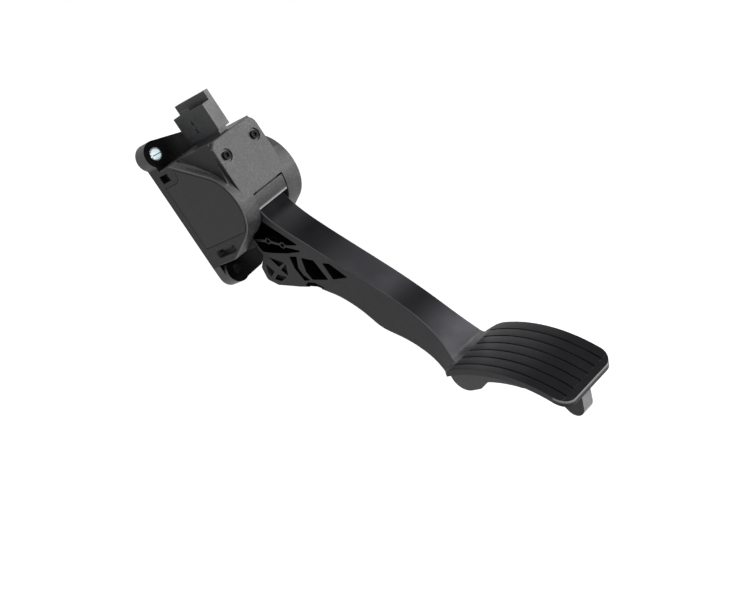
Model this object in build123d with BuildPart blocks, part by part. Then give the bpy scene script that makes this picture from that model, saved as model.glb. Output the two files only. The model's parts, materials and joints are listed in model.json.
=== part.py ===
from build123d import *
import os
from math import acos, atan2, cos, hypot, radians, sin

# Accelerator pedal of the hanging kind, for a car with an electronic throttle.
# The origin lies on the mounting face, in the middle plane of the pedal and level with its pivot.
# +X runs along the pivot to the driver's right, +Y goes into the bulkhead and +Z is up,
# so the housing stands off towards -Y and the pedal hangs down and forwards.

os.makedirs("parts", exist_ok=True)

# Clearances
fit_gap = 0.3  # between pieces that only lie near each other
seat_gap = 0.02  # round a piece that is pressed or snapped into its seat
running_gap = 0.03  # between the shaft and its bushes
shoe_gap = 0.05  # between the friction shoe and the hub
end_float = 0.1  # between the thrust washers and the bearing walls

# Pivot, hub and drum
pivot_standoff = 38.15  # mounting face to pivot axis
drum_radius = 26.85
hub_radius = 23.5
hub_gap = 0.7
hub_half = 13.2
hub_boss_radius = 8.0
shaft_radius = 4.5

# Housing along the pivot, from the hub outwards
sensor_gap = 3.2  # hub to left bearing wall
drive_gap = 2.5  # hub to right bearing wall
bearing_wall = 3.2
clip_chamber = 5.6
spring_chamber = 9.5
rim_round = 1.1
rim_margin = 1.3  # from the drum's outline to the side cover

# Base plate and its lugs, as (X, Z)
base_depth = 11.0
foot_drop = 34.5
foot_reach = 26.0
foot_round = 7.0
shoulder_reach = 21.5
shoulder_round = 3.5
lug_top = (-21.8, 51.1)
lug_right = (38.5, 26.0)
lug_bottom = (-18.2, -42.5)
lug_radius = 9.3
lug_bottom_radius = 9.3
lug_bottom_bore = 3.7
lug_notch_round = 2.0  # where the top lug stands out from the left edge
base_shoulder = (6.0, 43.2)
apron_depth = 8.0
apron_corner = (1.0, -47.2)
apron_round = 4.0
sleeve_radius = 4.6
sleeve_wall = 0.9
sleeve_slit = 0.5
sleeve_slit_turn = -14.0
core_depth = 4.0
core_rib = 3.0

# Box above the drum, with the front plate
plate_standoff = pivot_standoff + drum_radius
plate_thickness = 3.0
plate_overhang = 4.9  # beyond the cavity of the box
plate_top = 40.5
plate_chamfer = 4.3
plate_round = 7.0
plate_edge_round = 0.8
box_wall_top = 3.6
box_wall_foot = 7.6
box_foot = 12.0
box_cavity_foot = 8.0
box_rear = 14.0
valley_round = 2.5
valley_reach = 4.5  # beyond the cavity of the box
valley_length = 30.0
screw_inset = 2.4  # from the wall of the box's cavity
screw_height = 28.1
screw_radius = 1.6
screw_length = 7.0
screw_head_radius = 2.85
screw_head_height = 1.7
screw_ring_radius = 4.5
screw_ring_depth = 1.0
screw_lobes = 6

# Lever opening in the drum
slot_gap = 0.4  # beside the hub's tab
slot_top = 2.1  # below the pivot
slot_rear = 21.0  # from the mounting face
tab_overhang = 2.0  # of the tab beyond the hub, on the right
tab_radius = 26.4
tab_foot = 13.6  # below the pivot
stop_thickness = 0.9
stop_half = 10.0

# Side cover
cover_thickness = 2.5
cover_rear = 6.5
cover_foot = 20.3
tongue_reach = 25.2
tongue_foot = 28.4
tongue_round = 6.0
catch_reach = 17.0
catch_foot = 31.5
catch_height = 5.5
catch_width = 9.5
sill_window_rear = 13.0
sill_window_length = 22.5
sill_window_height = 5.5
sill_window_mid = 27.0
hook_depth = 1.8
hook_rise = 4.0  # length of a hook behind the cover
sill_hook_width = 11.0
sill_hook_drop = 6.3
catch_hook_width = 3.2
catch_hook_reach = 12.5  # from the mounting face

# Right-hand spring chamber and its cap
chamber_radius = 20.5
cap_radius = 21.6
cap_thickness = 1.9

# Sensor carrier with the upright socket
deck_thickness = 3.0
neck_half = 3.6
neck_front = 58.0
neck_rear = 29.0
neck_height = 2.9
socket_half = 5.2
socket_front = 61.4
socket_rear = 25.5
socket_height = 20.0
socket_wall = 1.4
socket_side = 2.0
socket_floor = 3.6
key_wall = 3.8
key_height = 26.4
nose_front = 46.0
nose_rear = 35.0
nose_height = 2.0
latch_hole = 1.7
latch_height = 3.0
latch_reach = 40.7
latch_levels = (6.1, 11.8)  # above the foot of the socket
boss_wall = 2.8  # from the screw's axis to the boss's inner face
boss_foot = 24.6
boss_rear = 54.5
tongue_thickness = 2.5
terminal_count = 6
terminal_pitch = 4.0
terminal_width = 1.0
terminal_thickness = 0.8
terminal_tip = 15.0  # above the foot of the socket
terminal_turn = 30.5  # height of the bend above the pivot
board_thickness = 1.5
contact_gap = 0.2  # between the wiper fingers and the board
board_rear = 29.0
board_foot = 9.6
board_top = 36.0
board_notch = 9.4
wiper_inner = 11.0
wiper_outer = 21.0
wiper_spread = 34.0  # degrees
wiper_thickness = 0.7
finger_thickness = 0.6
finger_width = 1.6
finger_length = 6.0
finger_heights = (12.8, 15.8, 18.8)

# Bushes, washers and clip
bush_wall = 2.0
bush_flange_radius = 7.6
bush_flange = 1.2
washer_thickness = 1.0
clip_thickness = 0.9
clip_radius = 7.2
clip_groove = 0.7
shaft_reach_left = 4.0  # beyond the left bearing wall
shaft_reach_right = 8.9  # beyond the right bearing wall

# Return springs and their arbor
arbor_radius = 6.8
arbor_flange_radius = 18.0
arbor_flange = 1.3
arbor_length = 7.7
outer_spring_radius = 14.2
outer_wire = 2.2
inner_spring_radius = 9.9
inner_wire = 1.8
spring_inset = 2.0  # middle of the first coil from the bearing wall
spring_turns = 2.0
spring_pitch = 2.3
leg_depth = 1.6

# Friction shoe behind the hub
shoe_half = 8.5
shoe_half_height = 6.5
shoe_back = 8.0
shoe_pocket_floor = 5.5
leaf_thickness = 0.6

# Full-travel stop
travel_stop_half = 9.0
travel_stop_height = 6.0
travel_stop_mid = 29.5  # below the pivot
travel_stop_depth = 3.4

# Pedal arm, drawn along its own axis: u runs down the arm from the pivot, w across it to the rear
arm_lean = 36.0  # degrees from the vertical
arm_half_root = 12.4
arm_half_neck = 11.5
arm_half_waist = 11.5
arm_half_ankle = 13.4
arm_half_foot = 19.3
arm_edge_round = 1.0
arm_web_half = 1.6
arm_top = [(33.0, -6.2), (58.0, -5.7), (96.0, -7.3), (132.0, -9.0), (156.0, -7.4), (172.0, -4.2), (184.0, -0.2)]
arm_fold = (190.4, -1.8)  # where the hollow of the fold runs out on the pad
arm_rear = [(88.0, 20.7), (101.0, 18.0), (118.0, 18.8), (129.0, 20.5), (144.0, 17.4), (160.0, 14.7), (182.5, 14.6)]
heel = [(88.0, 20.7), (76.7, 24.3), (64.5, 33.9), (48.2, 45.2), (39.4, 46.6), (33.0, 39.5), (32.6, 27.5)]
heel_neck = (22.0, 17.0)
heel_round = 3.0
arm_root = (21.0, -9.5)
window_round = 0.6
window_hub_margin = 2.0
windows = [
    [(24.5, -0.8), (56.5, -0.3), (48.9, 5.6), (44.7, 7.7), (34.0, 11.7), (22.0, 19.5)],
    [(23.8, 21.0), (34.6, 13.6), (45.5, 9.2), (61.4, 1.9), (50.1, 12.4), (39.8, 20.0), (32.0, 24.8)],
    [(51.8, 14.2), (57.1, 10.0), (60.1, 18.7), (65.3, 21.9), (71.2, 22.0), (66.9, 26.2), (57.9, 21.5)],
    [(60.5, 8.6), (69.9, 3.7), (84.0, 11.2), (72.6, 20.4), (66.6, 17.8)],
    [(76.6, 0.9), (81.5, -2.6), (97.3, -1.8), (87.4, 8.1)],
    [(67.7, 29.6), (69.8, 25.2), (74.5, 21.8), (83.3, 20.2), (76.5, 27.0)],
]
cross_pockets = [
    [(36.7, 26.6), (49.2, 22.3), (45.7, 29.1)],
    [(35.4, 34.0), (43.3, 35.6), (41.7, 41.9), (38.7, 40.7)],
    [(47.8, 30.6), (50.4, 22.6), (53.8, 31.4)],
    [(44.6, 42.2), (46.0, 36.3), (53.2, 33.5), (50.0, 40.0)],
]
cross_pocket_depth = 2.5
ring_eyes = [(34.1, 12.7), (45.2, 8.3)]
ring_eye_radius = 2.4
ring_eye_bore = 1.5
channel_start = 101.0
channel_end = 170.0
channel_cells = 4
channel_rib = 2.4
channel_roof = -1.5
channel_wall = 2.8
channel_slant = 6.0

# Foot pad, a curved plate about an axis parallel to the pivot
pad_axis = (-140.0, -258.8)  # Y and Z of the axis of the pad's curve
pad_radius = 106.7
pad_start = 92.5  # degrees, measured from +Y
pad_end = 143.5  # degrees
pad_overrun = 4.0  # degrees that the plate runs on under its trimmed end
pad_thickness = 4.0
pad_half = 27.3
pad_offset_start = 1.1  # of the pad's middle to the right of the arm's
pad_offset_end = 0.2
pad_corner = 9.5
pad_corner_right = 10.5
pad_corner_left = 2.5
groove_count = 6
groove_pitch = 8.05
groove_width = 1.2
groove_depth = 0.9
land_step = 0.2  # the tread lands stand this much proud of the pad's two ends
groove_start = 95.0  # degrees
groove_end = 141.0  # degrees
pad_web_half = 13.2
pad_web_depth = 18.4
pad_web_end = 121.0  # degrees
lobe_place = (-143.0, -164.2)  # Y and Z
lobe_radius = 11.2
lobe_toe = (-149.5, -166.3)
lobe_toe_radius = 9.5
lobe_hollow = 8.0  # fillet between the lobe and the pad's web
rib_half = 5.0
rib_start = 116.0  # degrees
rib_end = 141.0  # degrees
rib_toe = (-206.5, -206.8)  # Y and Z
rib_toe_radius = 7.0

pivot = (-pivot_standoff, 0)
bay_left = -hub_half - sensor_gap
bay_right = hub_half + drive_gap
left_wall_out = bay_left - bearing_wall
right_wall_out = bay_right + bearing_wall
cover_inner = left_wall_out - clip_chamber
left_face = cover_inner - cover_thickness
sill_window_y = -sill_window_rear - sill_window_length / 2
catch_mid = catch_foot + catch_height / 2
cap_inner = right_wall_out + spring_chamber
right_face = cap_inner + cap_thickness
tab_left = -hub_half
tab_right = hub_half + tab_overhang
slot_left = tab_left - slot_gap
box_cavity_half = -bay_left
plate_half = box_cavity_half + plate_overhang
valley_foot = box_cavity_half + valley_reach
screw_place = box_cavity_half - screw_inset
boss_inner = screw_place - boss_wall
board_face = -hub_half - wiper_thickness - finger_thickness - contact_gap
shaft_left = left_wall_out - shaft_reach_left
shaft_right = right_wall_out + shaft_reach_right
arbor_left = right_wall_out + bush_flange + fit_gap
arbor_right = arbor_left + arbor_length
spring_left = right_wall_out + spring_inset
shoulder_height = plate_top - shoulder_round
shoulder_back = pivot_standoff - shoulder_reach
slope_turn = atan2(shoulder_height, shoulder_back) + acos(
    (drum_radius - shoulder_round) / hypot(shoulder_height, shoulder_back)
)
valley_run = Vector(0, -sin(slope_turn), cos(slope_turn))
valley_mid = Vector(
    0,
    (drum_radius + shoulder_round) * cos(slope_turn) - pivot_standoff - shoulder_reach,
    (drum_radius + shoulder_round) * sin(slope_turn) + shoulder_height,
) / 2 + valley_run * valley_round
bay_radius = hub_radius + hub_gap
bush_radius = shaft_radius + running_gap + bush_wall
deck_top = plate_top
deck_foot = deck_top - deck_thickness
socket_foot = deck_top + neck_height
socket_cavity = (-socket_half + socket_wall, socket_half - key_wall)
arm_direction = (0, -sin(radians(arm_lean)), -cos(radians(arm_lean)))


def side_plane(x):
    """Plane across the pivot at x, with Y and Z as its axes."""
    return Plane.YZ.offset(x)


def front_plane(standoff):
    """Plane in front of the mounting face, with X and Z as its axes; extrusions go forwards."""
    return Plane.XZ.offset(standoff)


def arm_plane(x):
    """Plane across the pivot at x, with u down the arm and w to the rear as its axes."""
    return Plane(origin=(x, -pivot_standoff, 0), x_dir=arm_direction, z_dir=(1, 0, 0))


def span(low, high):
    """Middle and length of a stretch."""
    return (low + high) / 2, high - low


def block(x_span, y_span, z_span, mode=Mode.ADD):
    """Box between three pairs of limits."""
    mids, lengths = zip(span(*x_span), span(*y_span), span(*z_span))
    with Locations(mids):
        Box(*lengths, mode=mode)


def pad_point(radius, angle):
    """Point at a radius and angle about the pad's axis, as Y and Z."""
    return (pad_axis[0] + radius * cos(radians(angle)), pad_axis[1] + radius * sin(radians(angle)))


def ring_sector(inner, outer, start, end):
    """Ring sector about the pad's axis, drawn in the YZ plane, with angles measured from +Y."""
    with BuildSketch(mode=Mode.PRIVATE) as sector:
        with BuildLine():
            CenterArc(pad_axis, outer, start, end - start)
            CenterArc(pad_axis, inner, start, end - start)
            Line(pad_point(inner, start), pad_point(outer, start))
            Line(pad_point(inner, end), pad_point(outer, end))
        make_face()
    return sector.sketch


def cheek_outline(inset=0.0):
    """Side outline of the housing: drum in front, foot below, base plate behind."""
    with Locations(pivot):
        Circle(drum_radius - inset)
    with Locations((-foot_reach, foot_round - foot_drop)):
        Circle(foot_round - inset)
    with Locations((-shoulder_reach, shoulder_height)):
        Circle(shoulder_round - inset)
    with Locations((-base_depth / 2, (plate_top - foot_drop) / 2)):
        Rectangle(base_depth, plate_top + foot_drop - 2 * inset)
    make_hull()


def cover_hooks(margin=0.0, mode=Mode.ADD):
    """The cover's two hooks, or with a margin the slots that they pass through."""
    hook_x = (cover_inner, cover_inner + hook_depth + margin)
    block(
        hook_x,
        (sill_window_y - sill_hook_width / 2 - margin, sill_window_y + sill_hook_width / 2 + margin),
        (-cover_foot - sill_hook_drop - margin, -cover_foot + hook_rise),
        mode=mode,
    )
    block(
        hook_x,
        (-tongue_reach - hook_rise, -catch_hook_reach + margin),
        (catch_mid - catch_hook_width / 2 - margin, catch_mid + catch_hook_width / 2 + margin),
        mode=mode,
    )


def cover_outline(margin=0.0):
    """Outline of the side cover: the flat of the side, cut off by the rear and lower seams."""
    cheek_outline(rim_margin - margin)
    with Locations((-cover_rear + margin, -cover_foot - margin)):
        Rectangle(
            2 * plate_standoff, 2 * plate_standoff, align=(Align.MAX, Align.MIN), mode=Mode.INTERSECT
        )
    with Locations((-tongue_reach + margin, tongue_foot + margin)):
        RectangleRounded(
            2 * tongue_reach,
            2 * plate_top,
            tongue_round,
            align=(Align.MIN, Align.MIN),
            mode=Mode.SUBTRACT,
        )


# Front plate of the box, with one corner cut off, the other rounded and the rim softened
with BuildPart() as front_plate:
    with BuildSketch(front_plane(plate_standoff - plate_thickness)) as plate_sketch:
        Rectangle(2 * plate_half, plate_top, align=(Align.CENTER, Align.MIN))
        corners = plate_sketch.vertices().group_by(Axis.Y)[-1].sort_by(Axis.X)
        chamfer(corners[0], plate_chamfer)
        fillet(corners[-1], plate_round)
    extrude(amount=plate_thickness)
    plate_rim = front_plate.faces().sort_by(Axis.Y)[0].edges().sort_by(Axis.Z)
    fillet(plate_rim[1:], plate_edge_round)

# Housing: one moulding with base plate, lugs, two cheeks, drum, box and front plate
with BuildPart() as housing:
    with BuildSketch(side_plane(left_face)):
        cheek_outline()
    extrude(amount=bay_left - left_face)
    rim = housing.faces().sort_by(Axis.X)[0].edges().sort_by(Axis.Y)
    fillet(rim[:-2], rim_round)
    with BuildSketch(side_plane(bay_right)):
        cheek_outline()
    extrude(amount=right_face - bay_right)
    rim = housing.faces().sort_by(Axis.X)[-1].edges().sort_by(Axis.Y)
    fillet(rim[:-2], rim_round)
    with BuildSketch(side_plane(bay_left)):
        with Locations(pivot):
            Circle(drum_radius)
        with Locations((0, -foot_drop)):
            Rectangle(pivot_standoff, foot_drop + box_foot, align=(Align.MAX, Align.MIN))
    extrude(amount=bay_right - bay_left)
    with BuildSketch(front_plane(0)):
        with BuildLine():
            Polyline(
                (-box_cavity_half - box_wall_foot, 0),
                (-box_cavity_half - box_wall_foot, box_foot),
                (-box_cavity_half - box_wall_top, plate_top),
                (box_cavity_half + box_wall_top, plate_top),
                (box_cavity_half + box_wall_foot, box_foot),
                (box_cavity_half + box_wall_foot, 0),
                close=True,
            )
        make_face()
    extrude(amount=plate_standoff - plate_thickness)
    # Hollow fillets in the valleys between the box and the sloping tops of the cheeks
    for side in (-1, 1):
        valley = Plane(origin=valley_mid, x_dir=(side, 0, 0), z_dir=valley_run * side)
        with BuildSketch(valley.offset(-valley_length / 2)):
            with BuildLine():
                CenterArc((valley_foot + valley_round, valley_round), valley_round, 180, 90)
                Polyline(
                    (valley_foot, valley_round),
                    (box_cavity_half, valley_round),
                    (box_cavity_half, -valley_round),
                    (valley_foot + valley_round, -valley_round),
                    (valley_foot + valley_round, 0),
                )
            make_face()
        extrude(amount=valley_length)
    add(front_plate.part)
    # Base plate: a bar between the upper lugs, the field behind the housing and an apron at the foot
    with BuildSketch(front_plane(0)):
        with Locations(lug_top, base_shoulder, lug_right):
            Circle(lug_radius)
        make_hull()
    extrude(amount=base_depth)
    with BuildSketch(front_plane(0)) as left_edge:
        with Locations(lug_top):
            Circle(lug_radius)
        with Locations((left_face, 0)):
            Rectangle(2 * lug_radius, lug_top[1], align=(Align.MIN, Align.MIN))
        notch = left_edge.vertices().sort_by_distance((left_face, lug_top[1]))[0]
        fillet(notch, lug_notch_round)
    extrude(amount=base_depth)
    with BuildSketch(front_plane(0)):
        with Locations(lug_bottom):
            Circle(lug_bottom_radius)
        with Locations(apron_corner):
            Circle(apron_round)
        with Locations((left_face, -foot_drop)):
            Rectangle(right_face - left_face - rim_round, rim_round, align=(Align.MIN, Align.MIN))
        make_hull()
    extrude(amount=apron_depth)
    with BuildSketch(front_plane(0)):
        with Locations(lug_bottom):
            Circle(lug_bottom_radius)
    extrude(amount=base_depth)
    # Bay of the hub, the cavity of the box above it and the opening for the arm
    with BuildSketch(side_plane(bay_left)):
        with Locations(pivot):
            Circle(bay_radius)
    extrude(amount=bay_right - bay_left, mode=Mode.SUBTRACT)
    block(
        (-box_cavity_half, box_cavity_half),
        (plate_thickness - plate_standoff, -box_rear),
        (box_cavity_foot, plate_top),
        mode=Mode.SUBTRACT,
    )
    with BuildSketch(side_plane(slot_left)):
        with BuildLine():
            Polyline(
                (-plate_standoff - fit_gap, -slot_top),
                (-pivot_standoff, -slot_top),
                (-slot_rear, -hub_radius),
                (-slot_rear, -2 * foot_drop),
                (-plate_standoff - fit_gap, -2 * foot_drop),
                close=True,
            )
        make_face()
        with Locations((-apron_depth, -foot_drop)):
            Rectangle(apron_depth, foot_drop, align=(Align.MIN, Align.MAX), mode=Mode.SUBTRACT)
    extrude(amount=bay_right - slot_left, mode=Mode.SUBTRACT)
    # Seat of the side cover, the shallow chamber behind it and the catch windows
    with BuildSketch(side_plane(left_face)):
        cover_outline(seat_gap)
    extrude(amount=cover_thickness, mode=Mode.SUBTRACT)
    with BuildSketch(side_plane(cover_inner)):
        cover_outline(-2 * rim_margin / 3)
    extrude(amount=left_wall_out - cover_inner, mode=Mode.SUBTRACT)
    block(
        (left_face, cover_inner + hook_depth + fit_gap),
        (-catch_reach, catch_width - catch_reach),
        (catch_foot, catch_foot + catch_height),
        mode=Mode.SUBTRACT,
    )
    with BuildSketch(side_plane(left_face)):
        with Locations((sill_window_y, -sill_window_mid)):
            SlotOverall(sill_window_length, sill_window_height)
    extrude(amount=cover_thickness + hook_depth + fit_gap, mode=Mode.SUBTRACT)
    cover_hooks(fit_gap, mode=Mode.SUBTRACT)
    # Spring chamber with the seat of its cap
    with BuildSketch(side_plane(right_wall_out)):
        with Locations(pivot):
            Circle(chamber_radius)
    extrude(amount=right_face - right_wall_out, mode=Mode.SUBTRACT)
    with BuildSketch(side_plane(cap_inner)):
        with Locations(pivot):
            Circle(cap_radius + seat_gap)
    extrude(amount=cap_thickness, mode=Mode.SUBTRACT)
    # Bores for the bushes, holes for the spring legs and the pocket of the friction shoe
    with BuildSketch(side_plane(left_wall_out)):
        with Locations(pivot):
            Circle(bush_radius + seat_gap)
    extrude(amount=right_wall_out - left_wall_out, mode=Mode.SUBTRACT)
    for radius, wire in ((outer_spring_radius, outer_wire), (inner_spring_radius, inner_wire)):
        half = wire / 2 + fit_gap
        block(
            (right_wall_out - leg_depth - fit_gap, right_wall_out),
            (pivot[0] - half, pivot[0] + half),
            (radius - half, radius + half),
            mode=Mode.SUBTRACT,
        )
    block(
        (-shoe_half - fit_gap, shoe_half + fit_gap),
        (-pivot_standoff, -shoe_pocket_floor),
        (-shoe_half_height - fit_gap, shoe_half_height + fit_gap),
        mode=Mode.SUBTRACT,
    )
    # Screw holes in the front plate, each in a shallow ring
    for x in (-screw_place, screw_place):
        with Locations(Plane(origin=(x, -plate_standoff, screw_height), z_dir=(0, -1, 0))):
            CounterBoreHole(
                screw_radius + fit_gap, screw_ring_radius, screw_ring_depth, plate_thickness
            )
    # Lug bores and the hollows that thin the base plate from behind
    for place, radius in (
        (lug_top, sleeve_radius + seat_gap),
        (lug_right, sleeve_radius + seat_gap),
        (lug_bottom, lug_bottom_bore),
    ):
        with Locations(Plane(origin=(place[0], 0, place[1]), z_dir=(0, 1, 0))):
            Hole(radius, base_depth)
    for x_limits in (
        (left_face + core_rib, -shoe_half - core_rib),
        (shoe_half + core_rib, right_face - core_rib),
    ):
        for z_limits in (
            (core_rib - foot_drop, -core_rib / 2),
            (core_rib / 2, plate_top - core_rib),
        ):
            block(x_limits, (-core_depth, 0), z_limits, mode=Mode.SUBTRACT)
housing.part.label = "housing"
export_step(housing.part, "parts/housing.step")

# Side cover: a flat panel with two hooks that snap into the windows of the housing
with BuildPart() as side_cover:
    with BuildSketch(side_plane(left_face)):
        cover_outline(-seat_gap)
    extrude(amount=cover_thickness)
    cover_hooks()
side_cover.part.label = "side_cover"
export_step(side_cover.part, "parts/side_cover.step")

# Cap that closes the spring chamber on the right
with BuildPart() as end_cap:
    with BuildSketch(side_plane(cap_inner)):
        with Locations(pivot):
            Circle(cap_radius)
    extrude(amount=cap_thickness)
    with BuildSketch(side_plane(right_face - cap_thickness / 3)):
        with Locations(pivot):
            Circle(cap_radius - rim_margin)
    extrude(amount=cap_thickness / 3, mode=Mode.SUBTRACT)
end_cap.part.label = "end_cap"
export_step(end_cap.part, "parts/end_cap.step")

# Rolled steel sleeves in the two upper lugs, each with its butt seam
for name, place in (("lug_sleeve_top", lug_top), ("lug_sleeve_right", lug_right)):
    with BuildPart() as lug_sleeve:
        with BuildSketch(front_plane(0)):
            with Locations(place):
                Circle(sleeve_radius)
                Circle(sleeve_radius - sleeve_wall, mode=Mode.SUBTRACT)
                with Locations(Rotation(0, 0, sleeve_slit_turn)):
                    Rectangle(
                        2 * sleeve_radius,
                        sleeve_slit,
                        align=(Align.MIN, Align.CENTER),
                        mode=Mode.SUBTRACT,
                    )
        extrude(amount=base_depth)
    lug_sleeve.part.label = name
    export_step(lug_sleeve.part, f"parts/{name}.step")

# Blade terminals: upright in the socket, then bent to the left to the sensor board
with BuildPart() as connector_terminals:
    terminal_mid = sum(socket_cavity) / 2
    for i in range(terminal_count):
        y = -(socket_front + socket_rear) / 2 + (i - (terminal_count - 1) / 2) * terminal_pitch
        y_limits = (y - terminal_width / 2, y + terminal_width / 2)
        x_limits = (terminal_mid - terminal_thickness / 2, terminal_mid + terminal_thickness / 2)
        block(x_limits, y_limits, (terminal_turn, socket_foot + terminal_tip))
        block((board_face, x_limits[1]), y_limits, (terminal_turn, terminal_turn + terminal_thickness))
connector_terminals.part.label = "connector_terminals"
export_step(connector_terminals.part, "parts/connector_terminals.step")

# Sensor carrier: deck that closes the box, screw bosses, board tongue and the upright socket
with BuildPart() as sensor_carrier:
    carrier_half = box_cavity_half - seat_gap
    carrier_front = plate_standoff - plate_thickness - seat_gap
    block(
        (-carrier_half, carrier_half),
        (-carrier_front, -box_rear - seat_gap),
        (deck_foot, deck_top),
    )
    block((-neck_half, neck_half), (-neck_front, -neck_rear), (deck_top, socket_foot))
    block(
        (-socket_half, socket_half),
        (-socket_front, -socket_rear),
        (socket_foot, socket_foot + socket_height),
    )
    block(
        (socket_half - key_wall, socket_half),
        (-socket_front, -socket_rear),
        (socket_foot, socket_foot + key_height),
    )
    block(
        (-socket_half, socket_cavity[0]),
        (-nose_front, -nose_rear),
        (socket_foot, socket_foot + socket_height + nose_height),
    )
    for x_limits in ((-carrier_half, -boss_inner), (boss_inner, carrier_half)):
        block(x_limits, (-carrier_front, -boss_rear), (boss_foot, deck_top))
    block(
        (board_face, board_face + tongue_thickness),
        (fit_gap - boss_rear, -board_rear),
        (terminal_turn - tongue_thickness, deck_top),
    )
    block(
        socket_cavity,
        (socket_side - socket_front, -socket_rear - socket_side),
        (socket_foot + socket_floor, socket_foot + socket_height),
        mode=Mode.SUBTRACT,
    )
    for level in latch_levels:
        block(
            (-socket_half, socket_cavity[0]),
            (-latch_reach - latch_hole / 2, -latch_reach + latch_hole / 2),
            (socket_foot + level - latch_height / 2, socket_foot + level + latch_height / 2),
            mode=Mode.SUBTRACT,
        )
    for x in (-screw_place, screw_place):
        with Locations(Plane(origin=(x, -carrier_front, screw_height), z_dir=(0, -1, 0))):
            Hole(screw_radius + seat_gap, screw_length + fit_gap)
    add(connector_terminals.part, mode=Mode.SUBTRACT)
sensor_carrier.part.label = "sensor_carrier"
export_step(sensor_carrier.part, "parts/sensor_carrier.step")

# Two thread-forming screws with six-lobe heads hold the carrier through the front plate
with BuildPart() as carrier_screws:
    head_seat = plate_standoff - screw_ring_depth
    for x in (-screw_place, screw_place):
        with BuildSketch(front_plane(head_seat)):
            with Locations((x, screw_height)):
                Circle(screw_head_radius)
        extrude(amount=screw_head_height)
        with BuildSketch(front_plane(head_seat)):
            with Locations((x, screw_height)):
                Circle(screw_radius)
        extrude(amount=-screw_length)
        with BuildSketch(front_plane(head_seat + screw_head_height)):
            with Locations((x, screw_height)):
                Circle(screw_head_radius / 3)
                with PolarLocations(screw_head_radius / 2.6, screw_lobes):
                    Circle(screw_head_radius / 6)
        extrude(amount=-screw_head_height * 0.7, mode=Mode.SUBTRACT)
carrier_screws.part.label = "carrier_screws"
export_step(carrier_screws.part, "parts/carrier_screws.step")

# Sensor board, notched to clear the hub's boss
with BuildPart() as sensor_board:
    with BuildSketch(side_plane(board_face - board_thickness)):
        with Locations((-board_rear, board_foot)):
            Rectangle(
                boss_rear - fit_gap - board_rear, board_top - board_foot, align=(Align.MAX, Align.MIN)
            )
        with Locations(pivot):
            Circle(board_notch + fit_gap, mode=Mode.SUBTRACT)
    extrude(amount=board_thickness)
sensor_board.part.label = "sensor_board"
export_step(sensor_board.part, "parts/sensor_board.step")

# Flanged bushes in the two bearing walls
for name, inner_x, outer_x in (
    ("bush_left", bay_left, left_wall_out),
    ("bush_right", bay_right, right_wall_out),
):
    outward = 1 if outer_x > inner_x else -1
    with BuildPart() as bush:
        with BuildSketch(side_plane(inner_x)):
            with Locations(pivot):
                Circle(bush_radius)
        extrude(amount=outer_x - inner_x)
        with BuildSketch(side_plane(outer_x)):
            with Locations(pivot):
                Circle(bush_flange_radius)
        extrude(amount=outward * bush_flange)
        with BuildSketch(side_plane(inner_x)):
            with Locations(pivot):
                Circle(shaft_radius + running_gap)
        extrude(amount=outer_x - inner_x + outward * bush_flange, mode=Mode.SUBTRACT)
    bush.part.label = name
    export_step(bush.part, f"parts/{name}.step")

# Shaft, with the groove of its clip near the left end
with BuildPart() as pivot_shaft:
    with BuildSketch(side_plane(shaft_left)):
        with Locations(pivot):
            Circle(shaft_radius)
    extrude(amount=shaft_right - shaft_left)
    clip_right = left_wall_out - bush_flange - fit_gap
    clip_left = clip_right - clip_thickness
    with BuildSketch(side_plane(clip_left - seat_gap)):
        with Locations(pivot):
            Circle(2 * shaft_radius)
            Circle(shaft_radius - clip_groove, mode=Mode.SUBTRACT)
    extrude(amount=clip_thickness + 2 * seat_gap, mode=Mode.SUBTRACT)
pivot_shaft.part.label = "pivot_shaft"
export_step(pivot_shaft.part, "parts/pivot_shaft.step")

# Clip in the groove, open towards the foot
with BuildPart() as shaft_clip:
    with BuildSketch(side_plane(clip_left)):
        with Locations(pivot):
            Circle(clip_radius)
            Circle(shaft_radius - clip_groove + seat_gap, mode=Mode.SUBTRACT)
            Rectangle(
                shaft_radius, clip_radius, align=(Align.CENTER, Align.MAX), mode=Mode.SUBTRACT
            )
    extrude(amount=clip_thickness)
shaft_clip.part.label = "shaft_clip"
export_step(shaft_clip.part, "parts/shaft_clip.step")

# Thrust washers between the hub's bosses and the bearing walls
for name, washer_left in (
    ("thrust_washer_left", bay_left + end_float),
    ("thrust_washer_right", bay_right - end_float - washer_thickness),
):
    with BuildPart() as washer:
        with BuildSketch(side_plane(washer_left)):
            with Locations(pivot):
                Circle(hub_boss_radius)
                Circle(shaft_radius + seat_gap, mode=Mode.SUBTRACT)
        extrude(amount=washer_thickness)
    washer.part.label = name
    export_step(washer.part, f"parts/{name}.step")

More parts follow.
